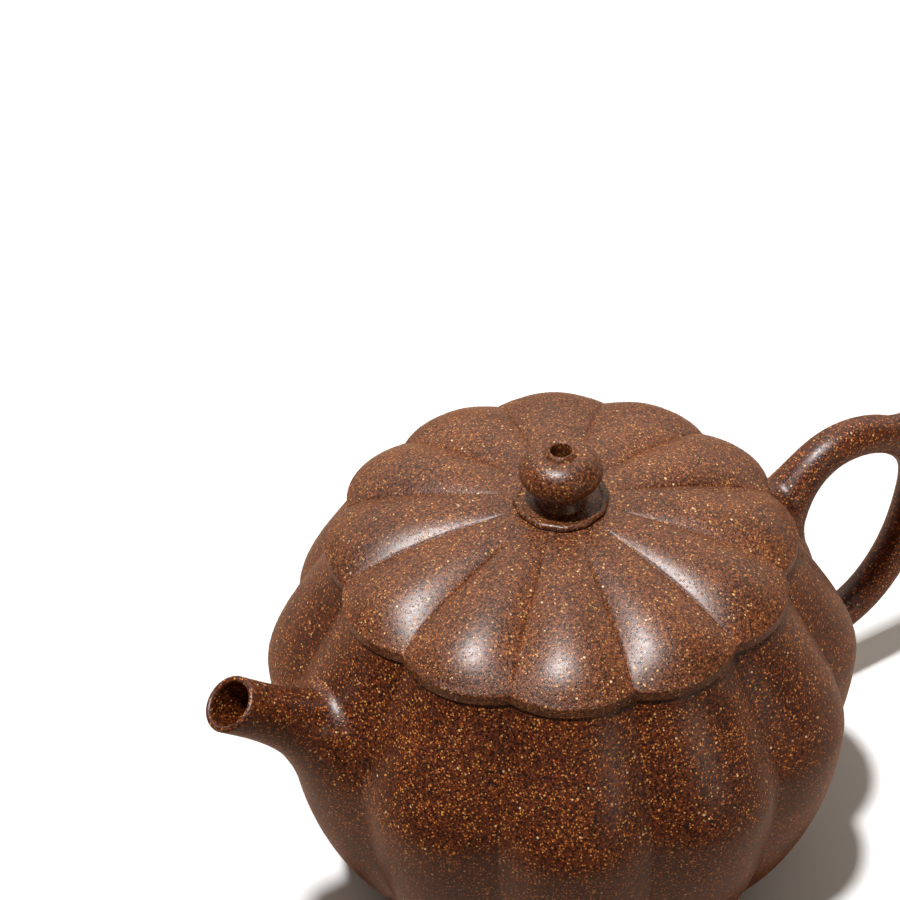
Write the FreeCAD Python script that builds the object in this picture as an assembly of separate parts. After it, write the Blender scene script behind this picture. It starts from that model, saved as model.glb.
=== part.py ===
import FreeCAD, Part
import math
import os

V = FreeCAD.Vector
UP = V(0, 0, 1)

# Ribbed clay teapot. Millimetres. The origin is the centre of the foot's resting plane.
# The axis of the pot is Z, the spout points to -X and the handle to +X.

# Ribs, shared by the pot and its lid
LOBES = 12
BELLY_GROOVE = 3.0
NECK_GROOVE = 2.0
BASE_GROOVE = 1.2
BODY_VALLEY = 0.86
LID_GROOVE = 2.05
LID_VALLEY = 1.0

# Pot outline at the crest of a rib
SEAT_Z = 57.5
NECK_R = 35.0
NECK_STEEP = 74.0
NECK_BEND = 4.8
BELLY_R = 46.4
BELLY_Z = 36.0
BELLY_RISE = 6.2
BELLY_FALL = 13.3
BASE_R = 34.9
BASE_Z = 2.4
BASE_RUN = 5.2

# Clay thickness and the levels at which the pieces of the pot are joined
WALL = 2.8
BASE_T = 3.0
SHOULDER_T = 3.2
SHOULDER_H = 7.5

# Foot ring
FOOT_R = 33.6
FOOT_W = 4.6
FOOT_TAPER = 0.9
FOOT_BULGE = 0.22

# Mouth and lid fit
MOUTH_R = 26.3
MOUTH_RING_W = 2.6
MOUTH_RING_H = 6.0
MOUTH_RING_BULGE = 0.65
LID_PLAY = 0.3
FLANGE_W = 2.7
FLANGE_H = 8.5
FLANGE_CHAMFER = 0.6

# Lid outline at the crest of a rib, measured up from the seat
LID_R = 35.8
LID_EDGE_H = 1.6
LID_SHOULDER_IN = 0.5
LID_SHOULDER_H = 1.0
LID_CREASE_H = 1.8
LID_TOP_H = 9.3
LID_FLAT_R = 7.5
LID_SWELL = 22.0
LID_SWELL_DROP = 0.3
LID_CREASE_SWELL = 18.5
LID_CREASE_SAG = 1.9
LID_T = 3.0
HOLLOW_WALL_H = 0.8
HOLLOW_BEND_R = 14.0
HOLLOW_BEND_DROP = 1.7

# Knob with its seat and vent
KNOB_SEAT_R = 7.2
KNOB_SEAT_WAVE = 0.15
KNOB_SEAT_T = 1.0
KNOB_SEAT_ROUND = 0.45
KNOB_NECK_R = 3.7
KNOB_NECK_H = 1.3
KNOB_NECK_SPREAD = 0.4
KNOB_NECK_WAIST = 0.25
KNOB_R = 6.25
KNOB_BEAD_R = 3.5
KNOB_LIP_R = 2.45
KNOB_LIP_H = 0.65
VENT_R = 1.55

# Spout
SPOUT_OUT = 10.8
SPOUT_DROP = 2.75
SPOUT_ANGLE = 38.0
SPOUT_CLIMB = 47.0
SPOUT_ROOT_TILT = 18.0
SPOUT_RISE_OUT = 3.2
SPOUT_RISE_UP = 4.4
SPOUT_LEVEL_IN = 9.3
SPOUT_LEVEL_DROP = 7.55
SPOUT_TIP_R = 4.4
SPOUT_LIP_T = 0.95
SPOUT_THROAT_R = 4.25
SPOUT_MID_R = 4.75
SPOUT_NECK_R = 5.9
SPOUT_ROOT_IN = 5.4
SPOUT_ROOT_Z = 39.5
SPOUT_ROOT_H = 11.4
SPOUT_ROOT_W = 9.6
SPOUT_ROOT_T = 3.4
SPOUT_FLARE_T = 2.7
SPOUT_NECK_T = 2.0
SPOUT_MID_T = 1.2
SPOUT_FLARE_SHARE = 0.17
SPOUT_NECK_SHARE = 0.36
SPOUT_MID_SHARE = 0.58
SPOUT_THROAT_SHARE = 0.82

# Strainer behind the spout
STRAINER_R = 9.4
STRAINER_T = 1.6
STRAINER_SINK = 0.8
STRAINER_HOLE_R = 1.1
STRAINER_HOLE_TILT = 23.0

# Handle
HANDLE_ROOT_IN = 6.6
HANDLE_ROOT_DROP = 10.7
HANDLE_RISE_IN = 2.4
HANDLE_RISE_DROP = 5.2
HANDLE_CROWN_OUT = 4.4
HANDLE_BACK_OUT = 13.0
HANDLE_TOP_DROP = 4.0
HANDLE_KNUCKLE_OUT = 20.1
HANDLE_KNUCKLE_DROP = 7.9
HANDLE_OUT = 25.2
HANDLE_MID_Z = 34.0
HANDLE_MID_H = 8.0
HANDLE_TURN_IN = 2.9
HANDLE_TURN_UP = 11.6
HANDLE_HEEL_IN = 10.6
HANDLE_HEEL_UP = 3.0
HANDLE_LOW_Z = 13.0
HANDLE_LOW_OUT = 3.0
HANDLE_FOOT_IN = 8.0
HANDLE_FLARE = 0.075
HANDLE_TOP_R = 3.12
HANDLE_LOW_R = 2.45
HANDLE_FLAT = 1.08
HANDLE_ROOT_R = 5.2
HANDLE_FOOT_R = 4.0

# Thumb spur on the knuckle of the handle
SPUR_OUT = 25.8
SPUR_RISE = 2.8
SPUR_BACK = 5.6
SPUR_SAG = 0.3
SPUR_ROOT_R = 2.5
SPUR_TIP_R = 1.7


def bezier(poles, share):
    curve = Part.BezierCurve()
    curve.setPoles(poles)
    return curve.value(share)


def dip(t, valley):
    # Depth of a rib's section: nothing on the crest at 0, all of it in the groove at 1.
    # The groove is rounded from the valley value on, and is a sharp crease where that is 1.
    t = abs(t)
    if t <= valley:
        return t * t / valley
    return 1.0 - (1.0 - t) ** 2 / (1.0 - valley)


def lobed_solid(rings, valley):
    # One rib is a smooth patch from groove to groove; a polar pattern of it closes the form.
    # A ring is its crest point (radius, 0, height) and the sink of its groove in the same plane.
    # The first and the last ring are flat, and are capped.
    half = math.pi / LOBES
    side = [valley * k / 3 for k in (1, 2, 3)]
    if valley < 1:
        side += [(1 + valley) / 2, 1.0]
    grid = []
    for crest, sink in rings:
        row = []
        for t in [-t for t in reversed(side)] + [0.0] + side:
            p = crest + sink * dip(t, valley)
            row.append(V(p.x * math.cos(t * half), p.x * math.sin(t * half), p.z))
        grid.append(row)
    surface = Part.BSplineSurface()
    surface.interpolate(grid)
    rib = surface.toShape()
    faces = []
    for i in range(LOBES):
        turned = rib.copy()
        turned.rotate(V(0, 0, 0), UP, i * 360.0 / LOBES)
        faces.append(turned)
    caps = []
    for crest, sink in (rings[0], rings[-1]):
        edges = [e for f in faces for e in f.Edges if flat_at(e, crest.z)]
        caps.append(Part.Face(Part.Wire(Part.__sortEdges__(edges))))
    shell = Part.makeShell(faces + caps)
    shell.sewShape()
    return outward(Part.Solid(shell))


def flat_at(shape, z):
    return abs(shape.BoundBox.ZMin - z) < 1e-4 and abs(shape.BoundBox.ZMax - z) < 1e-4


def outward(solid):
    if solid.Volume < 0:
        solid.reverse()
    return solid


def ring_wire(centre, along, half_long, half_wide):
    # Closed oval: half_long lies in the XZ plane along the given direction, half_wide along Y
    points = []
    for i in range(12):
        a = i * math.pi / 6.0
        points.append(centre + along * (half_long * math.cos(a)) + V(0, half_wide * math.sin(a), 0))
    curve = Part.BSplineCurve()
    curve.interpolate(Points=points, PeriodicFlag=True)
    return Part.Wire([curve.toShape()])


def tube(rings):
    return outward(Part.makeLoft([ring_wire(*ring) for ring in rings], True, False))


def turned_solid(outline):
    edges = []
    for item in outline:
        edges.append(item if isinstance(item, Part.Edge) else Part.makeLine(*item))
    face = Part.Face(Part.Wire(edges))
    return outward(face.revolve(V(0, 0, 0), UP, 360))


def arc(a, b, c):
    return Part.Arc(a, b, c).toShape()


def slab(low, high):
    side = 2.0 * BELLY_R
    return Part.makeBox(2 * side, 2 * side, high - low, V(-side, -side, low))


def one(shape):
    # The single solid of a result, without the crumbs that trimming can leave
    return max(shape.Solids, key=lambda s: s.Volume)


# Pot outline: a rise from the base to the belly, then an ogee from the belly to the neck
lean = math.radians(NECK_STEEP)
low_poles = [V(BASE_R, 0, BASE_Z), V(BASE_R + BASE_RUN, 0, BASE_Z + BASE_RUN / 2),
             V(BELLY_R, 0, BELLY_Z - BELLY_FALL), V(BELLY_R, 0, BELLY_Z)]
neck_knee = V(NECK_R + NECK_BEND * math.cos(lean), 0, SEAT_Z - NECK_BEND * math.sin(lean))
top_poles = [V(BELLY_R, 0, BELLY_Z), V(BELLY_R, 0, BELLY_Z + BELLY_RISE), neck_knee, V(NECK_R, 0, SEAT_Z)]


def body_rings(inset):
    rings = []
    for poles, start, groove_a, groove_b in ((low_poles, 0, BASE_GROOVE, BELLY_GROOVE),
                                             (top_poles, 1, BELLY_GROOVE, NECK_GROOVE)):
        count = 8
        for i in range(start, count + 1):
            blend = i / count
            blend = blend * blend * (3 - 2 * blend)
            depth = groove_a + (groove_b - groove_a) * blend
            rings.append((bezier(poles, i / count) - V(inset, 0, 0), V(-depth, 0, 0)))
    return rings


pot = lobed_solid(body_rings(0.0), BODY_VALLEY)

# Chamber: the same ribs one wall further in, closed below by the base and above by the shoulder
shoulder_z = SEAT_Z - SHOULDER_H
base_top = BASE_Z + BASE_T
chamber = lobed_solid(body_rings(WALL), BODY_VALLEY).common(slab(base_top, SEAT_Z - SHOULDER_T))
ring_r = MOUTH_R + MOUTH_RING_W
mouth_hole = Part.makeCylinder(ring_r, 2 * SEAT_Z, V(0, 0, base_top))

base_disc = one(pot.common(slab(BASE_Z - 1, base_top)))
shell = pot.cut(chamber)
body_wall = one(shell.common(slab(base_top, shoulder_z)))
shoulder_disc = one(shell.common(slab(shoulder_z, SEAT_Z + 1)).cut(mouth_hole))

mouth_ring = turned_solid([
    (V(MOUTH_R, 0, SEAT_Z), V(ring_r, 0, SEAT_Z)),
    (V(ring_r, 0, SEAT_Z), V(ring_r, 0, SEAT_Z - MOUTH_RING_H)),
    arc(V(ring_r, 0, SEAT_Z - MOUTH_RING_H),
        V(MOUTH_R + MOUTH_RING_W / 2, 0, SEAT_Z - MOUTH_RING_H - MOUTH_RING_BULGE),
        V(MOUTH_R, 0, SEAT_Z - MOUTH_RING_H)),
    (V(MOUTH_R, 0, SEAT_Z - MOUTH_RING_H), V(MOUTH_R, 0, SEAT_Z))])

foot_in = FOOT_R - FOOT_W
foot_ring = turned_solid([
    (V(foot_in + FOOT_TAPER, 0, 0), V(FOOT_R - FOOT_TAPER, 0, 0)),
    arc(V(FOOT_R - FOOT_TAPER, 0, 0), V(FOOT_R - FOOT_BULGE, 0, BASE_Z / 2), V(FOOT_R, 0, BASE_Z)),
    (V(FOOT_R, 0, BASE_Z), V(foot_in, 0, BASE_Z)),
    arc(V(foot_in, 0, BASE_Z), V(foot_in + FOOT_BULGE, 0, BASE_Z / 2), V(foot_in + FOOT_TAPER, 0, 0))])

# Spout: a lofted tube that turns from the slope of the pot to the angle of the lip
tip_z = SEAT_Z - SPOUT_DROP
tip = V(-(BELLY_R + SPOUT_OUT), 0, tip_z)
root = V(-(BELLY_R - SPOUT_ROOT_IN), 0, SPOUT_ROOT_Z)


def leaning(angle):
    # In-plane direction across a tube that climbs towards -X at the given angle
    a = math.radians(angle)
    return V(-math.sin(a), 0, -math.cos(a))


spout_path = [root, root + V(-SPOUT_RISE_OUT, 0, SPOUT_RISE_UP),
              tip + V(SPOUT_LEVEL_IN, 0, -SPOUT_LEVEL_DROP), tip]
flare_h = (SPOUT_ROOT_H + SPOUT_NECK_R) / 2
flare_w = (SPOUT_ROOT_W + SPOUT_NECK_R) / 2
flare_tilt = (SPOUT_ROOT_TILT + SPOUT_CLIMB) / 2
throat_tilt = (SPOUT_CLIMB + SPOUT_ANGLE) / 2
spout_skin = []
spout_bore = []
for share, tilt, long_r, wide_r, thick in (
        (0.0, SPOUT_ROOT_TILT, SPOUT_ROOT_H, SPOUT_ROOT_W, SPOUT_ROOT_T),
        (SPOUT_FLARE_SHARE, flare_tilt, flare_h, flare_w, SPOUT_FLARE_T),
        (SPOUT_NECK_SHARE, SPOUT_CLIMB, SPOUT_NECK_R, SPOUT_NECK_R, SPOUT_NECK_T),
        (SPOUT_MID_SHARE, SPOUT_CLIMB, SPOUT_MID_R, SPOUT_MID_R, SPOUT_MID_T),
        (SPOUT_THROAT_SHARE, throat_tilt, SPOUT_THROAT_R, SPOUT_THROAT_R, SPOUT_LIP_T),
        (1.0, SPOUT_ANGLE, SPOUT_TIP_R, SPOUT_TIP_R, SPOUT_LIP_T)):
    centre = bezier(spout_path, share)
    spout_skin.append((centre, leaning(tilt), long_r, wide_r))
    spout_bore.append((centre, leaning(tilt), long_r - thick, wide_r - thick))
mouth_way = leaning(SPOUT_ANGLE).cross(V(0, 1, 0))
bore_in = root + V(STRAINER_R, 0, -STRAINER_R / 3)
bore_out = tip + mouth_way * SPOUT_TIP_R
spout_bore.insert(0, (bore_in,) + spout_bore[0][1:])
spout_bore.append((bore_out,) + spout_bore[-1][1:])
bore = tube(spout_bore)
spout = one(tube(spout_skin).cut(bore).cut(pot))
body_wall = one(body_wall.cut(bore))

# Strainer: a drilled dome on the inside of the wall, round the spout's opening
dome_at = root - V(STRAINER_SINK, 0, 0)
strainer = Part.makeSphere(STRAINER_R, dome_at).cut(Part.makeSphere(STRAINER_R - STRAINER_T, dome_at))
for circle, count in enumerate((1, 6, 12)):
    for i in range(count):
        hole = Part.makeCylinder(STRAINER_HOLE_R, 2 * STRAINER_R, dome_at, V(1, 0, 0))
        hole.rotate(dome_at, V(0, 1, 0), circle * STRAINER_HOLE_TILT)
        hole.rotate(dome_at, V(1, 0, 0), i * 360.0 / count)
        strainer = strainer.cut(hole)
strainer = one(strainer.common(chamber))

# Handle: a coil that leaves the shoulder, bends at a knuckle and returns low on the belly
top_z = SEAT_Z - HANDLE_TOP_DROP
knuckle = V(BELLY_R + HANDLE_KNUCKLE_OUT, 0, SEAT_Z - HANDLE_KNUCKLE_DROP)
reach = BELLY_R + HANDLE_OUT
handle_points = [V(BELLY_R - HANDLE_ROOT_IN, 0, top_z - HANDLE_ROOT_DROP),
                 V(BELLY_R - HANDLE_RISE_IN, 0, top_z - HANDLE_RISE_DROP),
                 V(BELLY_R + HANDLE_CROWN_OUT, 0, top_z),
                 V(BELLY_R + HANDLE_BACK_OUT, 0, top_z),
                 knuckle,
                 V(reach, 0, HANDLE_MID_Z + HANDLE_MID_H),
                 V(reach, 0, HANDLE_MID_Z),
                 V(reach - HANDLE_TURN_IN, 0, HANDLE_LOW_Z + HANDLE_TURN_UP),
                 V(reach - HANDLE_HEEL_IN, 0, HANDLE_LOW_Z + HANDLE_HEEL_UP),
                 V(BELLY_R + HANDLE_LOW_OUT, 0, HANDLE_LOW_Z),
                 V(BELLY_R - HANDLE_FOOT_IN, 0, HANDLE_LOW_Z)]
handle_path = Part.BSplineCurve()
handle_path.interpolate(handle_points)
handle_rings = []
turns = 30
for i in range(turns + 1):
    share = i / turns
    at = handle_path.FirstParameter + share * (handle_path.LastParameter - handle_path.FirstParameter)
    heading = handle_path.tangent(at)[0]
    blend = share * share * (3 - 2 * share)
    r = HANDLE_TOP_R + (HANDLE_LOW_R - HANDLE_TOP_R) * blend
    r = r + (HANDLE_ROOT_R - HANDLE_TOP_R) * math.exp(-(share / HANDLE_FLARE) ** 2)
    r = r + (HANDLE_FOOT_R - HANDLE_LOW_R) * math.exp(-((1 - share) / HANDLE_FLARE) ** 2)
    handle_rings.append((handle_path.value(at), heading.cross(V(0, 1, 0)), r, r * HANDLE_FLAT))
handle_coil = tube(handle_rings)
handle = one(handle_coil.cut(pot))

spur_tip = V(BELLY_R + SPUR_OUT, 0, knuckle.z + SPUR_RISE)
spur_root = knuckle + V(-SPUR_BACK, 0, SPUR_RISE + SPUR_SAG)
spur_way = (spur_tip - spur_root).normalize()
spur_side = spur_way.cross(V(0, 1, 0))
spur_mid = (spur_root + spur_tip) * 0.5 - V(0, 0, SPUR_SAG)
spur_mid_r = (SPUR_ROOT_R + SPUR_TIP_R) / 2
spur_rings = [(spur_root, spur_side, SPUR_ROOT_R, SPUR_ROOT_R), (spur_mid, spur_side, spur_mid_r, spur_mid_r)]
for turn in (0, 25, 50, 70, 82):
    a = math.radians(turn)
    r = SPUR_TIP_R * math.cos(a)
    spur_rings.append((spur_tip + spur_way * (SPUR_TIP_R * math.sin(a)), spur_side, r, r))
thumb_spur = one(tube(spur_rings).cut(handle_coil))

# Lid: twelve petals over a flat underside, hollow inside the flange
edge_z = SEAT_Z + LID_EDGE_H
lid_top = SEAT_Z + LID_TOP_H
crease_r = LID_R - LID_GROOVE
swell_r = LID_FLAT_R + LID_SWELL
swell_z = lid_top - LID_SWELL_DROP
crest_poles = [V(LID_R, 0, edge_z), V(LID_R - LID_SHOULDER_IN, 0, edge_z + LID_SHOULDER_H),
               V(swell_r, 0, swell_z), V(LID_FLAT_R, 0, lid_top)]
crease_poles = [V(crease_r, 0, edge_z), V(crease_r - LID_SHOULDER_IN, 0, edge_z + LID_CREASE_H),
                V(LID_FLAT_R + LID_CREASE_SWELL, 0, swell_z - LID_CREASE_SAG), V(LID_FLAT_R, 0, lid_top)]
lid_steps = 10
lid_rings = []
for i in range(lid_steps + 1):
    crest = bezier(crest_poles, i / lid_steps)
    lid_rings.append((crest, bezier(crease_poles, i / lid_steps) - crest))
petals = lobed_solid(lid_rings, LID_VALLEY)
petal_base = [f for f in petals.Faces if flat_at(f, edge_z)][0]
lid_blank = petals.fuse(petal_base.extrude(V(0, 0, -LID_EDGE_H)))

flange_r = MOUTH_R - LID_PLAY
flange_in = flange_r - FLANGE_W
hollow_top = lid_top - LID_T
hollow = turned_solid([
    (V(0, 0, SEAT_Z - 1), V(flange_in, 0, SEAT_Z - 1)),
    (V(flange_in, 0, SEAT_Z - 1), V(flange_in, 0, SEAT_Z + HOLLOW_WALL_H)),
    arc(V(flange_in, 0, SEAT_Z + HOLLOW_WALL_H), V(HOLLOW_BEND_R, 0, hollow_top - HOLLOW_BEND_DROP),
        V(0, 0, hollow_top)),
    (V(0, 0, hollow_top), V(0, 0, SEAT_Z - 1))])
vent = Part.makeCylinder(VENT_R, 3 * LID_TOP_H, V(0, 0, SEAT_Z))
lid_dome = one(lid_blank.cut(hollow).cut(vent))

flange_low = SEAT_Z - FLANGE_H
chamfer_z = flange_low + FLANGE_CHAMFER
lid_flange = turned_solid([
    (V(flange_in, 0, SEAT_Z), V(flange_r, 0, SEAT_Z)),
    (V(flange_r, 0, SEAT_Z), V(flange_r, 0, chamfer_z)),
    (V(flange_r, 0, chamfer_z), V(flange_r - FLANGE_CHAMFER, 0, flange_low)),
    (V(flange_r - FLANGE_CHAMFER, 0, flange_low), V(flange_in + FLANGE_CHAMFER, 0, flange_low)),
    (V(flange_in + FLANGE_CHAMFER, 0, flange_low), V(flange_in, 0, chamfer_z)),
    (V(flange_in, 0, chamfer_z), V(flange_in, 0, SEAT_Z))])

# Knob seat: a thin disc whose edge waves with the ribs
wave = []
for i in range(4 * LOBES):
    a = i * math.pi / (2 * LOBES)
    r = KNOB_SEAT_R + KNOB_SEAT_WAVE * math.cos(LOBES * a)
    wave.append(V(r * math.cos(a), r * math.sin(a), lid_top))
wave_curve = Part.BSplineCurve()
wave_curve.interpolate(Points=wave, PeriodicFlag=True)
knob_seat = Part.Face(Part.Wire([wave_curve.toShape()])).extrude(V(0, 0, KNOB_SEAT_T)).cut(vent)
rim_edges = [e for e in knob_seat.Edges if flat_at(e, lid_top + KNOB_SEAT_T) and e.Length > 4 * KNOB_SEAT_R]
knob_seat = one(knob_seat.makeFillet(KNOB_SEAT_ROUND, rim_edges))

# Knob: a flattened bead on a short neck, with a raised lip round the vent
knob_z = lid_top + KNOB_SEAT_T
bead_z = knob_z + KNOB_NECK_H + KNOB_BEAD_R
bead_r = KNOB_R - KNOB_BEAD_R
bead_top = bead_z + KNOB_BEAD_R
neck_drop = math.sqrt(KNOB_BEAD_R ** 2 - (KNOB_NECK_R - bead_r) ** 2)
neck_foot = KNOB_NECK_R + KNOB_NECK_SPREAD
lip_mid = (KNOB_LIP_R + VENT_R) / 2
lip_drop = math.sqrt(KNOB_BEAD_R ** 2 - (KNOB_LIP_R - bead_r) ** 2)
knob = turned_solid([
    (V(VENT_R, 0, knob_z), V(neck_foot, 0, knob_z)),
    arc(V(neck_foot, 0, knob_z), V(KNOB_NECK_R - KNOB_NECK_WAIST, 0, (knob_z + bead_z - neck_drop) / 2),
        V(KNOB_NECK_R, 0, bead_z - neck_drop)),
    arc(V(KNOB_NECK_R, 0, bead_z - neck_drop), V(KNOB_R, 0, bead_z), V(KNOB_LIP_R, 0, bead_z + lip_drop)),
    arc(V(KNOB_LIP_R, 0, bead_z + lip_drop), V(lip_mid, 0, bead_top + KNOB_LIP_H),
        V(VENT_R, 0, bead_z + lip_drop)),
    (V(VENT_R, 0, bead_z + lip_drop), V(VENT_R, 0, knob_z))])

os.makedirs("parts", exist_ok=True)
for name, shape in (("body_wall", body_wall), ("shoulder_disc", shoulder_disc), ("mouth_ring", mouth_ring),
                    ("base_disc", base_disc), ("foot_ring", foot_ring), ("spout", spout),
                    ("spout_strainer", strainer), ("handle", handle), ("thumb_spur", thumb_spur),
                    ("lid_dome", lid_dome), ("lid_flange", lid_flange), ("knob_seat", knob_seat),
                    ("knob", knob)):
    shape.exportStep("parts/" + name + ".step")
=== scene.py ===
import math

import bmesh
import bpy
import numpy as np
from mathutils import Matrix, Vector


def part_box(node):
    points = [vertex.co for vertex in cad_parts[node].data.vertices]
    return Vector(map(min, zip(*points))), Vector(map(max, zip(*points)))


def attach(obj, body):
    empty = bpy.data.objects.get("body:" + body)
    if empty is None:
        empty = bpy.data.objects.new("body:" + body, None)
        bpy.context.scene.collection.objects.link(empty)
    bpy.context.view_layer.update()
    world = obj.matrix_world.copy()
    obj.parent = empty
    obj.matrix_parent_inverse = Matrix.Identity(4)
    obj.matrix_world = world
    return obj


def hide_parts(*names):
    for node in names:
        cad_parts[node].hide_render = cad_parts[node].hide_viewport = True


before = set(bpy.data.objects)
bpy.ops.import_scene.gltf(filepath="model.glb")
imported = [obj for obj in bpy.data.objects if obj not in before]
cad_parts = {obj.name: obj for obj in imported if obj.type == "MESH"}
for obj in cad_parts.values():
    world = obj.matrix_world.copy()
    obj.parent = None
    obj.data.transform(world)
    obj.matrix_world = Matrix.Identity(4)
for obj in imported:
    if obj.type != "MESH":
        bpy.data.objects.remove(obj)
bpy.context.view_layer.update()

# A ribbed clay teapot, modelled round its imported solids. The pot's axis is Z, the spout
# points to -X and the handle to +X. Metres, in the frame of the solids.
MM = 0.001

# Levels and radii read from the solids
belly_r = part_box("body_wall")[1].y
base_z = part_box("base_disc")[0].z
floor_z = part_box("base_disc")[1].z
seat_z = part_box("shoulder_disc")[1].z
ring_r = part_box("mouth_ring")[1].y
ring_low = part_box("mouth_ring")[0].z
flange_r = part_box("lid_flange")[1].y
flange_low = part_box("lid_flange")[0].z
foot_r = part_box("foot_ring")[1].y
lid_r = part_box("lid_dome")[1].y
lid_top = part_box("lid_dome")[1].z
knob_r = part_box("knob")[1].y
knob_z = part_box("knob")[0].z

# Ribs, shared by the pot and its lid
LOBES = 12
HALF_RIB = math.pi / LOBES
HALF_STEPS = 16
ROUND_SIDES = 144
OUTLINE_STEPS = 33
BODY_VALLEY = 0.86
LID_VALLEY = 1.0
BASE_GROOVE = 1.2 * MM
BELLY_GROOVE = 3.0 * MM
NECK_GROOVE = 2.0 * MM
LID_GROOVE = 2.05 * MM
CREASE_CUT = 0.07 * MM
CREASE_WIDTH = 0.2 * MM
CREASE_LIP = 0.03 * MM
SEAM_CUT = 0.22 * MM
SEAM_WIDTH = 0.45 * MM

# Pot
NECK_R = 35.6 * MM
NECK_STEEP = math.radians(74.0)
NECK_BEND = 4.8 * MM
BELLY_Z = 36.0 * MM
BELLY_RISE = 6.2 * MM
BELLY_FALL = 13.3 * MM
BASE_R = 34.9 * MM
BASE_RUN = 5.2 * MM
WALL = 2.8 * MM
SHOULDER_T = 3.2 * MM
MOUTH_R = 26.3 * MM
NECK_ROUND = 0.25 * MM
MOUTH_ROUND = 0.5 * MM
FLOOR_ROUND = 3.0 * MM
FOOT_W = 4.6 * MM
FOOT_TAPER = 0.9 * MM
FOOT_ROUND = 0.5 * MM
FOOT_SINK = 0.1 * MM
BASE_RINGS = (6.0 * MM, 14.0 * MM, 22.0 * MM, 28.0 * MM)
FLOOR_RINGS = (20.0 * MM, 8.0 * MM)

# Lid
LID_EDGE_H = 1.9 * MM
LID_EDGE_ROUND = 0.1 * MM
LID_REST = 0.03 * MM
LID_SHOULDER_IN = 2.2 * MM
LID_SHOULDER_H = 1.5 * MM
LID_CREASE_H = 1.8 * MM
LID_FLAT_R = 7.5 * MM
LID_SWELL = 24.0 * MM
LID_SWELL_DROP = 0.3 * MM
LID_CREASE_SWELL = 18.5 * MM
LID_CREASE_SAG = 2.3 * MM
LID_T = 3.0 * MM
LID_UNDER_ROUND = 0.25 * MM
FLANGE_W = 2.7 * MM
FLANGE_ROUND = 0.8 * MM
HOLLOW_WALL_H = 0.8 * MM
LID_INNER_SHARE = 0.06
LID_LAST_SHARE = 0.035
LID_RINGS = 56
HOLLOW_RINGS = 16

# Knob
SEAT_R = 7.1 * MM
SEAT_ROUND = 0.52 * MM
SEAT_DISH = 0.4 * MM
SEAT_RIM_IN = 1.6 * MM
SEAT_FLAT_IN = 2.2 * MM
SEAT_WAVES = ((0.09 * MM, LOBES, math.pi / 2), (0.07 * MM, 3, 1.0), (0.05 * MM, 7, 2.0))
NECK_FOOT = 0.1 * MM
NECK_WIDE = 3.9 * MM
NECK_NARROW = 3.3 * MM
NECK_TOP = 3.5 * MM
BEAD_R = 3.5 * MM
BEAD_GAP = 1.3 * MM
BEAD_UNDER = 0.64
LIP_R = 2.45 * MM
LIP_H = 0.65 * MM
LIP_EDGE_R = 1.85 * MM
LIP_BOW = 0.8
VENT_R = 1.55 * MM
NECK_RINGS = 10
BEAD_RINGS = 44
LIP_RINGS = 6

# Tubes and the fillets where they leave another surface
TUBE_SIDES = 72
SIDEWAYS = np.array([0.0, 1.0, 0.0])
FILLET_SEARCH = 200
FILLET_RINGS = 9
FILLET_SINK = 0.08 * MM
FILLET_DEEP = 0.5 * MM
FILLET_INSIDE = 0.3 * MM
FILLET_STEP = 1e-3
SLOPE_STEP = 0.02 * MM
ONTO_ROUNDS = 6

# Spout
SPOUT_ROOT = (-41.0 * MM, 39.5 * MM)
SPOUT_RISE = (-44.2 * MM, 43.9 * MM)
SPOUT_LEVEL = (-47.9 * MM, 47.2 * MM)
SPOUT_TIP = (-56.4 * MM, 55.0 * MM)
SPOUT_ANGLE = math.radians(54.0)
SPOUT_CLIMB = math.radians(47.0)
SPOUT_TILT = math.radians(18.0)
SPOUT_TIP_R = 4.3 * MM
SPOUT_THROAT_R = 4.25 * MM
SPOUT_MID_R = 4.75 * MM
SPOUT_NECK_R = 6.2 * MM
SPOUT_ROOT_H = 11.4 * MM
SPOUT_ROOT_W = 9.6 * MM
SPOUT_ROOT_T = 3.4 * MM
SPOUT_LIP_T = 0.95 * MM
SPOUT_SHARES = [0.0, 0.12, 0.30, 0.58, 0.82, 1.0]
SPOUT_FLARE = 0.45
SPOUT_FLARE_T = 0.8
SPOUT_NECK_T = 0.6
SPOUT_MID_T = 1.3
SPOUT_SKIRT_TOP = 1.9 * MM
SPOUT_SKIRT_LOW = 6.5 * MM
SPOUT_SPREAD_LOW = 8.0 * MM
SPOUT_OUT = 0.8
SPOUT_RINGS = 40
SPOUT_LIP_RINGS = 12
BORE_RINGS = 36
HOLE_INSET = 0.95
HOLE_END = 0.45
HOLE_RINGS = 12
HOLE_REACH = (9.0 * MM, 0.0, -3.0 * MM)

# Handle and its thumb spur
HANDLE_ROUTE = [(39.8, 42.8), (44.0, 48.3), (50.8, 53.5), (59.4, 53.5), (66.5, 49.6), (71.3, 42.0),
                (71.2, 34.0), (68.4, 24.6), (61.0, 16.0), (49.4, 13.0), (38.4, 13.0)]
HANDLE_TOP_R = 3.12 * MM
HANDLE_LOW_R = 3.0 * MM
HANDLE_FLAT = 1.08
HANDLE_ROOT_R = 5.2 * MM
HANDLE_FOOT_R = 4.0 * MM
HANDLE_FLARE = 0.075
HANDLE_SKIRT = 2.6 * MM
HANDLE_OUT = 0.3
HANDLE_RINGS = 140
HANDLE_SAMPLES = 400
HANDLE_SPAN = (0.05, 0.95)
HANDLE_STEP = 1e-4
SPUR_ROOT = (60.9 * MM, 52.7 * MM)
SPUR_TIP = (72.2 * MM, 52.4 * MM)
SPUR_ROOT_R = 2.5 * MM
SPUR_TIP_R = 1.7 * MM
SPUR_SAG = 0.3 * MM
SPUR_SKIRT = 1.6 * MM
SPUR_OUT = 0.9
SPUR_RINGS = 20
SPUR_TIP_RINGS = 10
SHARP_EDGE = 38.0
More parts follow.
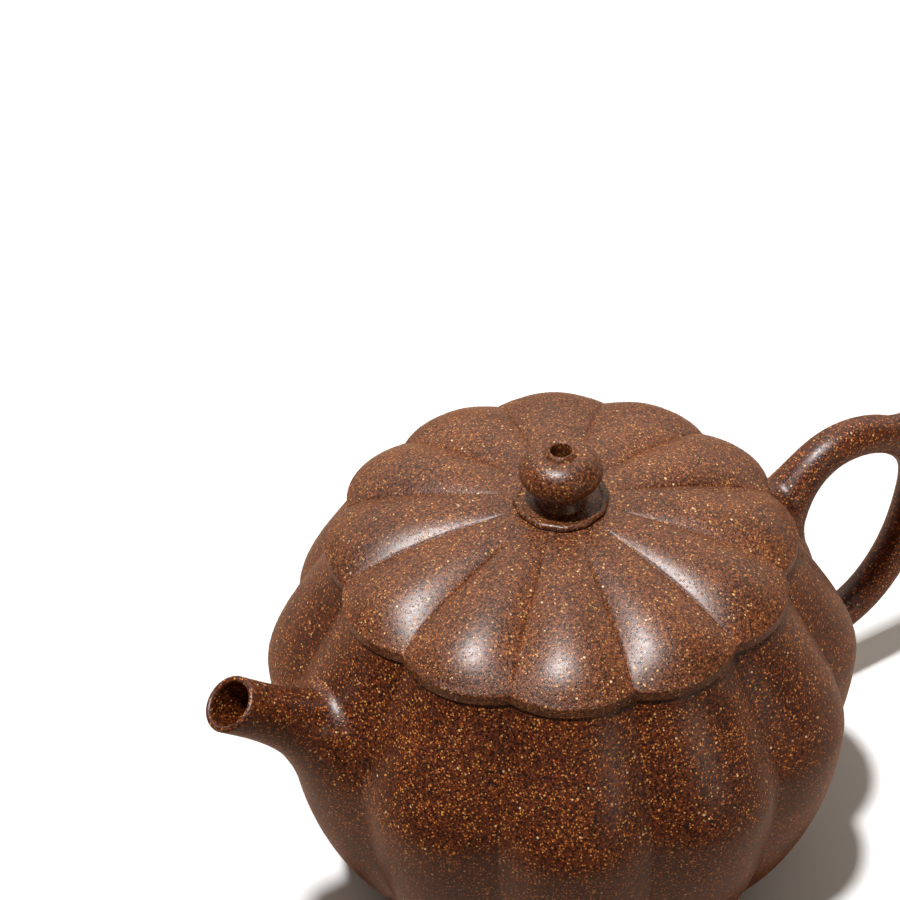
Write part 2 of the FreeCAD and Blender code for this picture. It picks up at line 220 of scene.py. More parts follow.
TUBE_EDGE = 60.0

# Clay. A kind of grain: its size, the share of places that hold one, and how far it reaches.
# A cover is the range of how well grains hide the ground, tones the range that mixes two colours
PITS = (0.36 * MM, 0.36, 0.5)
FINE = (0.30 * MM, 0.30, 0.54)
SAND = (0.40 * MM, 0.10, 0.46)
COARSE = (0.60 * MM, 0.05, 0.36)
GRAIN_EDGE = 0.6
CHOICE_RANGE = (0.99, 1.01)
FINE_COVER = (0.2, 1.0)
FINE_TONES = (0.3, 1.0)
SAND_COVER = (0.35, 1.0)
SAND_TONES = (0.2, 0.9)
COARSE_COVER = (0.5, 1.0)
COARSE_TONES = (0.3, 0.95)
NOISE_RANGE = (0.3, 0.7)
CLOUD_SCALE = 130.0
CLOUD_SHADE = 0.025
CLOUD_CROWD = 0.4
MOTTLE_SCALE = 2400.0
MOTTLE_ROUGHNESS = 0.8
NOISE_DETAIL = 3.0
GROUND_RANGE = (0.41, 0.60)
PIT_COVER = 0.85
PIT_TONE = 0.25
CLAY_ROUGHNESS = (0.34, 0.45)
CLAY_SPECULAR = 0.75
MOTTLE_HEIGHT = 0.5
SAND_HEIGHT = 0.3
PIT_HEIGHT = 0.6
BUMP_STRENGTH = 0.5
BUMP_DEPTH = 0.08 * MM

# Camera: the photograph is 900 pixels wide, and the lid's rim centre lies at AIM in it
IMAGE = 900.0
AIM = (561.0, 547.6)
FOCAL = 2150.0
SENSOR = 36.0
AZIMUTH = math.radians(-32.7)
ELEVATION = math.radians(42.0)
DISTANCE = 327.3 * MM
CLIP_START = 0.01

# Studio
FLOOR_SIDE = 1.5
FLOOR_FRONT = 0.3
FLOOR_TONE = (0.92, 0.92, 0.92)
FLOOR_BOUNCE = (0.50, 0.33, 0.24)
FLOOR_DARK = (0.02, 0.02, 0.02)
FLOOR_FADE = (-0.16, 0.0)
FLOOR_ROUGHNESS = 0.9
LAMP_WAY = (-0.236, -0.02, 1.0)
LAMP_STRENGTH = 3.4
LAMP_SPREAD = math.radians(5.0)
FRONT_WAY = (0.2, -0.95, 0.26)
FRONT_SIZE = 0.16
FRONT_FAR = 0.6
FRONT_POWER = 0.25
FRONT_TINT = (1.0, 0.84, 0.68)
ROOM_TINT = (1.0, 0.88, 0.76)
ROOM_FRONT = 0.05
ROOM_BACK = 0.9
ROOM_TILT = 0.1
ROOM_SIDE_RANGE = (0.1, 0.8)
ROOM_HEIGHT_RANGE = (0.0, 0.25)
WHITE = (1.0, 1.0, 1.0)
BACKWARD = (-math.sin(AZIMUTH), math.cos(AZIMUTH))


def bezier(poles, u):
    a, b, c, d = (np.array(p, float) for p in poles)
    u = np.asarray(u, float)[:, None]
    v = 1 - u
    return a * v ** 3 + 3 * b * v * v * u + 3 * c * v * u * u + d * u ** 3


def spline(knots, values):
    """Natural cubic spline through the values, as a function of the knots' parameter."""
    x = np.asarray(knots, float)
    y = np.asarray(values, float).reshape(len(x), -1)
    n = len(x)
    h = np.diff(x)
    matrix = np.eye(n)
    right = np.zeros_like(y)
    for i in range(1, n - 1):
        matrix[i, i - 1:i + 2] = h[i - 1], 2 * (h[i - 1] + h[i]), h[i]
        right[i] = 6 * ((y[i + 1] - y[i]) / h[i] - (y[i] - y[i - 1]) / h[i - 1])
    bend = np.linalg.solve(matrix, right)

    def at(q):
        q = np.asarray(q, float)
        k = np.clip(np.searchsorted(x, q) - 1, 0, n - 2)
        a = ((x[k + 1] - q) / h[k])[..., None]
        b = 1 - a
        curl = (a ** 3 - a) * bend[k] + (b ** 3 - b) * bend[k + 1]
        return a * y[k] + b * y[k + 1] + curl * (h[k] ** 2)[..., None] / 6

    return at


def smooth(x):
    return x * x * (3 - 2 * x)


def dip(t, valley):
    """Depth of a rib's section: nothing on the crest at 0, all of it in the groove at 1."""
    t = np.abs(t)
    if valley >= 1:
        return t * t
    return np.where(t <= valley, t * t / valley, 1 - (1 - t) ** 2 / (1 - valley))


def corner(r, z, e, start, end, steps=5):
    """Arc of radius e round the centre (r, z), between two angles in degrees."""
    a = np.radians(np.linspace(start, end, steps))
    return list(zip(r + e * np.cos(a), z + e * np.sin(a)))


half_side = np.sin(np.linspace(0, 1, HALF_STEPS + 1) * math.pi / 2)
rib_t = np.tile(np.concatenate([-half_side[:0:-1], half_side[:-1]]), LOBES)
rib_angle = (np.repeat(np.arange(LOBES) * 2, 2 * HALF_STEPS) + rib_t) * HALF_RIB
body_dip = dip(rib_t, BODY_VALLEY)
lid_dip = dip(rib_t, LID_VALLEY)
turn_angle = np.linspace(0, 2 * math.pi, ROUND_SIDES, endpoint=False)
tube_turn = np.linspace(0, 2 * math.pi, TUBE_SIDES, endpoint=False)


def ring(radius, height, angle):
    radius = np.broadcast_to(radius, angle.shape)
    height = np.broadcast_to(height, angle.shape)
    return np.stack([radius * np.cos(angle), radius * np.sin(angle), height], axis=1)


def skin(rings, first=None, last=None):
    """Vertices and faces through the rings.
    Points close the two ends, or the rings close on themselves."""
    n = len(rings[0])
    m = len(rings)
    verts = [tuple(p) for r in rings for p in r]
    faces = []
    closed = first is None and last is None
    for i in range(m if closed else m - 1):
        a = i * n
        b = (i + 1) % m * n
        faces += [(a + j, a + (j + 1) % n, b + (j + 1) % n, b + j) for j in range(n)]
    for pole, row in ((first, 0), (last, m - 1)):
        if pole is not None:
            verts.append(tuple(pole))
            faces += [(row * n + j, row * n + (j + 1) % n, len(verts) - 1) for j in range(n)]
    return verts, faces


def mesh_object(name, verts, faces):
    mesh = bpy.data.meshes.new(name)
    mesh.from_pydata(verts, [], faces)
    work = bmesh.new()
    work.from_mesh(mesh)
    bmesh.ops.recalc_face_normals(work, faces=work.faces)
    work.to_mesh(mesh)
    work.free()
    obj = bpy.data.objects.new(name, mesh)
    bpy.context.scene.collection.objects.link(obj)
    return obj


def finish_piece(obj, body, nodes, material, sharp=SHARP_EDGE):
    obj.data.shade_smooth()
    obj.data.set_sharp_from_angle(angle=math.radians(sharp))
    obj.data.materials.clear()
    obj.data.materials.append(material)
    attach(obj, body)
    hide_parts(*nodes)
    return obj


# Clay

def add_node(tree, kind, **inputs):
    node = tree.nodes.new(kind)
    for key, value in inputs.items():
        socket = node.inputs[key.replace("_", " ")]
        if isinstance(value, bpy.types.NodeSocket):
            tree.links.new(value, socket)
        else:
            socket.default_value = value
    return node


def blend_colour(tree, share, a, b):
    node = tree.nodes.new("ShaderNodeMix")
    node.data_type = "RGBA"
    for index, value in ((0, share), (6, a), (7, b)):
        if isinstance(value, bpy.types.NodeSocket):
            tree.links.new(value, node.inputs[index])
        else:
            node.inputs[index].default_value = value if index == 0 else (*value, 1.0)
    return node.outputs[2]


def ramp(tree, value, low, high, to_low=0.0, to_high=1.0):
    node = add_node(tree, "ShaderNodeMapRange", Value=value, From_Min=low, From_Max=high,
                    To_Min=to_low, To_Max=to_high)
    node.interpolation_type = "SMOOTHSTEP"
    return node.outputs[0]


def maths(tree, operation, a, b):
    node = tree.nodes.new("ShaderNodeMath")
    node.operation = operation
    for socket, value in zip(node.inputs, (a, b)):
        if isinstance(value, bpy.types.NodeSocket):
            tree.links.new(value, socket)
        else:
            socket.default_value = value
    return node.outputs[0]


def toward(tree, place, way):
    """How far a place lies along a direction."""
    node = tree.nodes.new("ShaderNodeVectorMath")
    node.operation = "DOT_PRODUCT"
    tree.links.new(place, node.inputs[0])
    node.inputs[1].default_value = way
    return node.outputs["Value"]


def grains(tree, place, crowd, kind):
    """Scattered grains: a mask of round spots, and two random numbers for each spot."""
    size, share, reach = kind
    cells = add_node(tree, "ShaderNodeTexVoronoi", Vector=place, Scale=1 / size)
    parts = add_node(tree, "ShaderNodeSeparateColor", Color=cells.outputs["Color"])
    spot = ramp(tree, cells.outputs["Distance"], reach, reach * GRAIN_EDGE)
    share = maths(tree, "MULTIPLY", crowd, share)
    chosen = ramp(tree, maths(tree, "ADD", parts.outputs[0], share), *CHOICE_RANGE)
    return maths(tree, "MULTIPLY", spot, chosen), parts.outputs[1], parts.outputs[2]


def strew(tree, colour, spots, cover, tones, pair):
    """Lays grains over a colour. Each has its own cover, and a tone between the pair's."""
    mask, first, second = spots
    tone = blend_colour(tree, ramp(tree, second, *tones), *pair)
    mask = maths(tree, "MULTIPLY", mask, ramp(tree, first, 0, 1, *cover))
    return blend_colour(tree, mask, colour, tone)


def clay(name, speck, dark, mid, rust, gold, pale):
    """Fired clay full of sand: a dark speckled ground, rusty and golden grains, and small pits."""
    material = bpy.data.materials.new(name)
    material.use_nodes = True
    tree = material.node_tree
    shader = tree.nodes["Principled BSDF"]
    place = tree.nodes.new("ShaderNodeTexCoord").outputs["Object"]

    cloud = add_node(tree, "ShaderNodeTexNoise", Vector=place, Scale=CLOUD_SCALE,
                     Detail=NOISE_DETAIL).outputs["Fac"]
    mottle = add_node(tree, "ShaderNodeTexNoise", Vector=place, Scale=MOTTLE_SCALE,
                      Detail=NOISE_DETAIL, Roughness=MOTTLE_ROUGHNESS).outputs["Fac"]
    shade = ramp(tree, cloud, *NOISE_RANGE, -CLOUD_SHADE, CLOUD_SHADE)
    ground = ramp(tree, maths(tree, "ADD", mottle, shade), *GROUND_RANGE)
    colour = blend_colour(tree, ground, dark, mid)

    crowd = ramp(tree, cloud, *NOISE_RANGE, 1 - CLOUD_CROWD, 1 + CLOUD_CROWD)
    pits = grains(tree, place, crowd, PITS)[0]
    sand = grains(tree, place, crowd, SAND)
    hollow = tuple(PIT_TONE * c for c in dark)
    colour = blend_colour(tree, maths(tree, "MULTIPLY", pits, PIT_COVER * speck), colour, hollow)
    fine_cover = tuple(speck * c for c in FINE_COVER)
    colour = strew(tree, colour, grains(tree, place, crowd, FINE), fine_cover, FINE_TONES,
                   (rust, gold))
    colour = strew(tree, colour, sand, SAND_COVER, SAND_TONES, (rust, gold))
    colour = strew(tree, colour, grains(tree, place, crowd, COARSE), COARSE_COVER, COARSE_TONES,
                   (gold, pale))
    tree.links.new(colour, shader.inputs["Base Color"])

    rough = ramp(tree, mottle, *NOISE_RANGE, *CLAY_ROUGHNESS)
    tree.links.new(rough, shader.inputs["Roughness"])
    shader.inputs["Specular IOR Level"].default_value = CLAY_SPECULAR
    height = maths(tree, "MULTIPLY", mottle, MOTTLE_HEIGHT)
    height = maths(tree, "ADD", height, maths(tree, "MULTIPLY", sand[0], SAND_HEIGHT))
    height = maths(tree, "SUBTRACT", height, maths(tree, "MULTIPLY", pits, PIT_HEIGHT))
    bump = add_node(tree, "ShaderNodeBump", Height=height, Strength=BUMP_STRENGTH,
                    Distance=BUMP_DEPTH)
    tree.links.new(bump.outputs["Normal"], shader.inputs["Normal"])
    return material


# Tones of two copies of one clay, each the dark and light ground, then rusty, golden and pale
# grains. The pot's copy is darker and redder as painted shade; the lid's copy is lighter and greyer
# as painted light and sheen
pot_clay = clay("pot_clay", speck=1.0, dark=(0.020, 0.004, 0.001), mid=(0.17, 0.034, 0.007),
                rust=(0.66, 0.17, 0.025), gold=(0.92, 0.42, 0.10), pale=(1.0, 0.76, 0.45))
lid_clay = clay("lid_clay", speck=0.65, dark=(0.046, 0.013, 0.004), mid=(0.25, 0.071, 0.022),
                rust=(0.68, 0.22, 0.045), gold=(0.94, 0.50, 0.15), pale=(1.0, 0.80, 0.50))

# Pot outline at the crest of a rib, from the base to the seat, with the depth of the groove
low_poles = [(BASE_R, base_z), (BASE_R + BASE_RUN, base_z + BASE_RUN / 2),
             (belly_r, BELLY_Z - BELLY_FALL), (belly_r, BELLY_Z)]
neck_knee = (NECK_R + NECK_BEND * math.cos(NECK_STEEP), seat_z - NECK_BEND * math.sin(NECK_STEEP))
top_poles = [(belly_r, BELLY_Z), (belly_r, BELLY_Z + BELLY_RISE), neck_knee, (NECK_R, seat_z)]
share = np.linspace(0, 1, OUTLINE_STEPS)
crest = np.concatenate([bezier(low_poles, share), bezier(top_poles, share[1:])])
groove = np.concatenate([BASE_GROOVE + (BELLY_GROOVE - BASE_GROOVE) * smooth(share),
                         BELLY_GROOVE + (NECK_GROOVE - BELLY_GROOVE) * smooth(share[1:])])


def pot_distance(p):
    """How far points lie outside the pot's ribbed skin, along the radius."""
    t = (np.arctan2(p[..., 1], p[..., 0]) / HALF_RIB + 1) % 2 - 1
    radius = np.interp(p[..., 2], crest[:, 1], crest[:, 0])
    depth = np.interp(p[..., 2], crest[:, 1], groove)
    return np.hypot(p[..., 0], p[..., 1]) - radius + depth * dip(t, BODY_VALLEY)


def slope(distance, p):
    """Unit outward normal of the surface that a distance function describes."""
    steps = SLOPE_STEP * np.eye(3)
    normal = np.stack([distance(p + step) - distance(p - step) for step in steps], axis=-1)
    return normal / np.linalg.norm(normal, axis=-1, keepdims=True)


def onto(distance, p):
    """Points moved onto the surface that a distance function describes."""
    for _ in range(ONTO_ROUNDS):
        p = p - slope(distance, p) * distance(p)[..., None]
    return p


def unit(v):
    return v / np.linalg.norm(v, axis=-1, keepdims=True)


def rooted(surface, axis_at, distance, inner, outer, reach, spread):
    """Rings of a soft fillet where a tube leaves another surface, and where on the tube it ends.
    The tube is surface(u), a ring of points for each u; it comes out between inner and outer.
    The fillet takes up reach on the tube, and spread on the other surface."""
    spread = np.broadcast_to(spread, TUBE_SIDES)[:, None]
    u = np.linspace(inner, outer, FILLET_SEARCH)
    clear = np.stack([distance(surface(np.full(TUBE_SIDES, x))) for x in u])
    count = np.argmax(clear > 0, axis=0)
    before = np.maximum(count - 1, 0)
    sides = np.arange(TUBE_SIDES)
    lift = clear[count, sides] - clear[before, sides]
    leave = u[before] + (u[count] - u[before]) * np.clip(-clear[before, sides] / lift, 0, 1)
    onward = np.sign(outer - inner)
    step = FILLET_STEP * abs(outer - inner)
    pace = (surface(leave + step) - surface(leave - step)) / (2 * step)
    start = leave + onward * reach / np.linalg.norm(pace, axis=1)
    at_leave = surface(leave)
    normal = slope(distance, at_leave)
    away = at_leave - axis_at(leave)
    away = unit(away - normal * np.sum(away * normal, axis=1, keepdims=True))
    foot = onto(distance, at_leave + away * spread)
    normal = slope(distance, foot)
    away = unit(away - normal * np.sum(away * normal, axis=1, keepdims=True))
    top = surface(start)
    down = -onward * unit(surface(start + step) - surface(start - step))
    span = np.linalg.norm(top - foot, axis=1, keepdims=True)
    sunk = foot - normal * FILLET_SINK
    rings = [foot - normal * FILLET_DEEP - away * FILLET_INSIDE, sunk]
    for s in np.linspace(0, 1, FILLET_RINGS + 1)[1:]:
        a = 2 * s ** 3 - 3 * s ** 2 + 1
        b = s ** 3 - 2 * s ** 2 + s
        c = 3 * s ** 2 - 2 * s ** 3
        d = s ** 3 - s ** 2
        rings.append(a * sunk - b * span * away + c * top - d * span * down)
    return rings, start


def oval(centre, across, half_long, half_wide):
    """One point of an oval section for each side of the tube."""
    return (centre + across * (half_long * np.cos(tube_turn))[:, None]
            + SIDEWAYS * (half_wide * np.sin(tube_turn))[:, None])


def in_plane(points):
    """Points (x, z) of the plane through the spout, the axis and the handle."""
    points = np.asarray(points, float)
    return np.stack([points[..., 0], np.zeros(points.shape[:-1]), points[..., 1]], axis=-1)


# Spout sections along its route: tilt, half height, half width and thickness
spout_sizes = spline(SPOUT_SHARES, [
    (SPOUT_TILT, SPOUT_ROOT_H, SPOUT_ROOT_W, SPOUT_ROOT_T),
    ((SPOUT_TILT + SPOUT_CLIMB) / 2, SPOUT_NECK_R + SPOUT_FLARE * (SPOUT_ROOT_H - SPOUT_NECK_R),
     SPOUT_NECK_R + SPOUT_FLARE * (SPOUT_ROOT_W - SPOUT_NECK_R), SPOUT_ROOT_T * SPOUT_FLARE_T),
    (SPOUT_CLIMB, SPOUT_NECK_R, SPOUT_NECK_R, SPOUT_ROOT_T * SPOUT_NECK_T),
    (SPOUT_CLIMB, SPOUT_MID_R, SPOUT_MID_R, SPOUT_LIP_T * SPOUT_MID_T),
    ((SPOUT_CLIMB + SPOUT_ANGLE) / 2, SPOUT_THROAT_R, SPOUT_THROAT_R, SPOUT_LIP_T),
    (SPOUT_ANGLE, SPOUT_TIP_R, SPOUT_TIP_R, SPOUT_LIP_T)])


def spout_centre(u):
    return in_plane(bezier([SPOUT_ROOT, SPOUT_RISE, SPOUT_LEVEL, SPOUT_TIP], u))


def spout_skin(u, inset=0.0):
    """A ring on the spout: u has one value for each side. The inset is a share of the thickness."""
    tilt, long_r, wide_r, thick = spout_sizes(u).T
    across = np.stack([-np.sin(tilt), np.zeros_like(tilt), -np.cos(tilt)], axis=1)
    return oval(spout_centre(u), across, long_r - inset * thick, wide_r - inset * thick)


def build_spout():
    under = (1 + np.cos(tube_turn)) / 2
    skirt = SPOUT_SKIRT_TOP + (SPOUT_SKIRT_LOW - SPOUT_SKIRT_TOP) * under
    spread = SPOUT_SKIRT_TOP + (SPOUT_SPREAD_LOW - SPOUT_SKIRT_TOP) * under
    rings, start = rooted(spout_skin, spout_centre, pot_distance, 0.0, SPOUT_OUT, skirt, spread)
    mouth_way = np.array([-math.cos(SPOUT_ANGLE), 0.0, math.sin(SPOUT_ANGLE)])
    lip = SPOUT_LIP_T / 2
    for s in np.linspace(0, 1, SPOUT_RINGS)[1:]:
        u = start + (1 - start) * s
        rings.append(spout_skin(u) - mouth_way * lip * s ** 4)
    full = np.ones(TUBE_SIDES)
    for a in np.radians(np.linspace(15, 180, SPOUT_LIP_RINGS)):
        rings.append(spout_skin(full, (1 - math.cos(a)) / 2) - mouth_way * lip * (1 - math.sin(a)))
    for s in np.linspace(1, 0, BORE_RINGS)[1:]:
        rings.append(spout_skin(np.full(TUBE_SIDES, s), 1.0))
    obj = mesh_object("pot_spout", *skin(rings))
    return finish_piece(obj, "pot", ["spout"], pot_clay, TUBE_EDGE)


def build_shell():
    """Body, shoulder, mouth and base as one skin, outside and inside, with the spout's hole."""
    rings = [ring(r, base_z, rib_angle) for r in BASE_RINGS]
    rows = list(zip(crest[:, 0], crest[:, 1], groove))
    seam = (1 - np.abs(rib_t)) * HALF_RIB * belly_r / SEAM_WIDTH
    seam = SEAM_CUT * np.exp(-seam ** 2)
    rings += [ring(r - g * body_dip - seam, z, rib_angle) for r, z, g in rows
              if z < seat_z - NECK_ROUND]
    for r, z in corner(NECK_R - NECK_ROUND, seat_z - NECK_ROUND, NECK_ROUND, 10, 90):
        rings.append(ring(r - NECK_GROOVE * body_dip - seam, z, rib_angle))
    rings.append(ring(ring_r, seat_z, rib_angle))
    inner = corner(MOUTH_R + MOUTH_ROUND, seat_z - MOUTH_ROUND, MOUTH_ROUND, 90, 180)
    ring_mid = (ring_r + MOUTH_R) / 2
    ring_half = (ring_r - MOUTH_R) / 2
    inner += corner(ring_mid, ring_low + ring_half, ring_half, 180, 360, 9)
    inner += [(ring_r, seat_z - SHOULDER_T)]
    rings += [ring(r, z, rib_angle) for r, z in inner]
    ceiling = seat_z - SHOULDER_T
    inside = [(r - WALL, z, g) for r, z, g in rows if floor_z + FLOOR_ROUND < z < ceiling]
    top_r, top_g = (np.interp(ceiling, crest[:, 1], column) for column in (crest[:, 0], groove))
    rings.append(ring(top_r - WALL - top_g * body_dip, ceiling, rib_angle))
    rings += [ring(r - g * body_dip, z, rib_angle) for r, z, g in reversed(inside)]
    low_r, low_z, low_g = inside[0]
    for r, z in corner(low_r - FLOOR_ROUND, floor_z + FLOOR_ROUND, FLOOR_ROUND, -10, -90, 7):
        rings.append(ring(r - low_g * body_dip, z, rib_angle))
    rings += [ring(r, floor_z, rib_angle) for r in FLOOR_RINGS]
    shell = mesh_object("pot_shell", *skin(rings, (0, 0, base_z), (0, 0, floor_z)))
    hole = [spout_skin(np.full(TUBE_SIDES, s), HOLE_INSET)
            for s in np.linspace(HOLE_END, 0.0, HOLE_RINGS)]
    hole.append(hole[-1] + np.array(HOLE_REACH))
    cutter = mesh_object("spout_hole", *skin(hole, hole[0].mean(0), hole[-1].mean(0)))
    cut = shell.modifiers.new("hole", "BOOLEAN")
    cut.object = cutter
    cut.solver = "EXACT"
    bpy.context.view_layer.update()
    graph = bpy.context.evaluated_depsgraph_get()
    done = bpy.data.meshes.new_from_object(shell.evaluated_get(graph))
    shell.modifiers.clear()
    shell.data = done
    bpy.data.objects.remove(cutter)
    return finish_piece(shell, "pot", ["body_wall", "shoulder_disc", "mouth_ring", "base_disc"],
                        pot_clay)


def build_foot():
    foot_in = foot_r - FOOT_W
    outline = [(foot_in, base_z + FOOT_SINK)]
    outline += corner(foot_in + FOOT_TAPER + FOOT_ROUND, FOOT_ROUND, FOOT_ROUND, 195, 270)
    outline += corner(foot_r - FOOT_TAPER - FOOT_ROUND, FOOT_ROUND, FOOT_ROUND, 270, 345)
    outline += [(foot_r, base_z + FOOT_SINK)]
    obj = mesh_object("pot_foot", *skin([ring(r, z, turn_angle) for r, z in outline]))
    return finish_piece(obj, "pot", ["foot_ring"], pot_clay)


# Handle: its route, thickness and skin
handle_points = in_plane(np.array(HANDLE_ROUTE) * MM)
handle_legs = np.linalg.norm(np.diff(handle_points, axis=0), axis=1)
handle_knots = np.concatenate([[0], np.cumsum(handle_legs)])
handle_centre = spline(handle_knots / handle_knots[-1], handle_points)


def handle_radius(u):
    r = HANDLE_TOP_R + (HANDLE_LOW_R - HANDLE_TOP_R) * smooth(np.clip(u, 0, 1))
    r = r + (HANDLE_ROOT_R - HANDLE_TOP_R) * np.exp(-(u / HANDLE_FLARE) ** 2)
    return r + (HANDLE_FOOT_R - HANDLE_LOW_R) * np.exp(-((1 - u) / HANDLE_FLARE) ** 2)


def handle_skin(u):
    heading = unit(handle_centre(u + HANDLE_STEP) - handle_centre(u - HANDLE_STEP))
    across = np.cross(heading, SIDEWAYS)
    r = handle_radius(u)
    return oval(handle_centre(u), across, r, r * HANDLE_FLAT)


handle_line = np.linspace(*HANDLE_SPAN, HANDLE_SAMPLES)
handle_line_at = handle_centre(handle_line)
handle_line_r = handle_radius(handle_line)


def handle_distance(p):
    """How far points lie outside the handle's coil."""
    flat = p * np.array([1, 1 / HANDLE_FLAT, 1])
    reach = np.linalg.norm(flat[..., None, :] - handle_line_at, axis=-1) - handle_line_r
    return reach.min(axis=-1)


def build_handle():
    top, start = rooted(handle_skin, handle_centre, pot_distance, 0.0, HANDLE_OUT,
                        HANDLE_SKIRT, HANDLE_SKIRT)
    low, end = rooted(handle_skin, handle_centre, pot_distance, 1.0, 1 - HANDLE_OUT,
                      HANDLE_SKIRT, HANDLE_SKIRT)
    rings = list(top)
    for s in np.linspace(0, 1, HANDLE_RINGS)[1:-1]:
        rings.append(handle_skin(start + (end - start) * s))
    rings += low[::-1]
    obj = mesh_object("pot_handle", *skin(rings, rings[0].mean(0), rings[-1].mean(0)))
    return finish_piece(obj, "pot", ["handle"], pot_clay, TUBE_EDGE)


spur_from, spur_to = in_plane([SPUR_ROOT, SPUR_TIP])
spur_way = unit(spur_to - spur_from)
spur_across = np.cross(spur_way, SIDEWAYS)


def spur_centre(u):
    sag = SPUR_SAG * 4 * u * (1 - u)
    return spur_from + (spur_to - spur_from) * u[:, None] - np.array([0, 0, 1.0]) * sag[:, None]


def spur_skin(u):
    r = SPUR_ROOT_R + (SPUR_TIP_R - SPUR_ROOT_R) * u
    return oval(spur_centre(u), spur_across, r, r)


def build_spur():
    rings, start = rooted(spur_skin, spur_centre, handle_distance, 0.0, SPUR_OUT,
                          SPUR_SKIRT, SPUR_SKIRT)
    for s in np.linspace(0, 1, SPUR_RINGS)[1:]:
        rings.append(spur_skin(start + (1 - start) * s))
    for a in np.radians(np.linspace(0, 85, SPUR_TIP_RINGS)[1:]):
        r = np.full(TUBE_SIDES, SPUR_TIP_R * math.cos(a))
        rings.append(oval(spur_to + spur_way * SPUR_TIP_R * math.sin(a), spur_across, r, r))
    point = spur_to + spur_way * SPUR_TIP_R
    obj = mesh_object("handle_spur", *skin(rings, rings[0].mean(0), point))
    return finish_piece(obj, "pot", ["thumb_spur"], pot_clay, TUBE_EDGE)


def build_lid():
    """Twelve petals with creased joins, a rim, a flat underside and the hollow in the flange."""
    edge_z = seat_z + LID_EDGE_H
    crease_r = lid_r - LID_GROOVE
    lid_low = seat_z + LID_REST
    swell_r = LID_FLAT_R + LID_SWELL
    swell_z = lid_top - LID_SWELL_DROP
    crest_line = [(lid_r, edge_z), (lid_r - LID_SHOULDER_IN, edge_z + LID_SHOULDER_H),
                  (swell_r, swell_z), (LID_FLAT_R, lid_top)]
    crease_line = [(crease_r, edge_z), (crease_r - LID_SHOULDER_IN, edge_z + LID_CREASE_H),
                   (LID_FLAT_R + LID_CREASE_SWELL, swell_z - LID_CREASE_SAG), (LID_FLAT_R, lid_top)]
    u = np.concatenate([np.linspace(1, LID_INNER_SHARE, LID_RINGS), [LID_LAST_SHARE]])
    rings = [ring(VENT_R, lid_top, rib_angle)]
    for share_u, top, low in zip(u, bezier(crest_line, u), bezier(crease_line, u)):
        r = top[0] + (low[0] - top[0]) * lid_dip
        gap = (1 - np.abs(rib_t)) * HALF_RIB * r / CREASE_WIDTH
        cut = CREASE_CUT * np.exp(-gap ** 2) - CREASE_LIP * gap ** 2 * np.exp(-0.5 * gap ** 2)
        z = top[1] + (low[1] - top[1]) * lid_dip - cut * math.sin(math.pi * share_u) ** 0.5
        rings.append(ring(r, z, rib_angle))
    rim = lid_r - LID_GROOVE * lid_dip
    for r, z in corner(-LID_EDGE_ROUND, edge_z - LID_EDGE_ROUND, LID_EDGE_ROUND, 50, 0, 4):
        rings.append(ring(rim + r, z, rib_angle))
    rings += [ring(rim, lid_low + LID_UNDER_ROUND * 1.5, rib_angle)]
    for r, z in corner(-LID_UNDER_ROUND, lid_low + LID_UNDER_ROUND, LID_UNDER_ROUND, 0, -90):
        rings.append(ring(rim + r, z, rib_angle))
    flange_in = flange_r - FLANGE_W
    rings += [ring(r, lid_low, rib_angle) for r in (flange_r, flange_in)]
    hollow_top = lid_top - LID_T
    wall_top = seat_z + HOLLOW_WALL_H
    for r in np.linspace(flange_in, VENT_R, HOLLOW_RINGS):
        z = hollow_top - (hollow_top - wall_top) * (r / flange_in) ** 2
        rings.append(ring(r, z, rib_angle))
    obj = mesh_object("lid_petals", *skin(rings))
    return finish_piece(obj, "lid", ["lid_dome"], lid_clay)


def build_flange():
    flange_in = flange_r - FLANGE_W
    outline = [(flange_in, seat_z + LID_REST * 2)]
    outline += corner(flange_in + FLANGE_ROUND, flange_low + FLANGE_ROUND, FLANGE_ROUND, 180, 270)
    outline += corner(flange_r - FLANGE_ROUND, flange_low + FLANGE_ROUND, FLANGE_ROUND, 270, 360)
    outline += [(flange_r, seat_z + LID_REST * 2)]
    obj = mesh_object("lid_collar", *skin([ring(r, z, turn_angle) for r, z in outline]))
    return finish_piece(obj, "lid_ring", ["lid_flange"], lid_clay)


def build_knob_seat():
    """A thumbed disc of clay under the knob, with an uneven edge."""
    a = turn_angle
    edge = SEAT_R + sum(height * np.sin(count * a + lag) for height, count, lag in SEAT_WAVES)
    rings = [ring(VENT_R, lid_top, a), ring(edge - SEAT_ROUND, lid_top, a)]
    for r, z in corner(-SEAT_ROUND, knob_z - SEAT_ROUND, SEAT_ROUND, -60, 150, 14):
        rings.append(ring(edge + r, z, a))
    rings += [ring(edge - r, knob_z - SEAT_DISH, a) for r in (SEAT_RIM_IN, SEAT_FLAT_IN)]
    rings.append(ring(VENT_R, knob_z - SEAT_DISH, a))
    obj = mesh_object("knob_base", *skin(rings))
    return finish_piece(obj, "lid", ["knob_seat"], lid_clay)


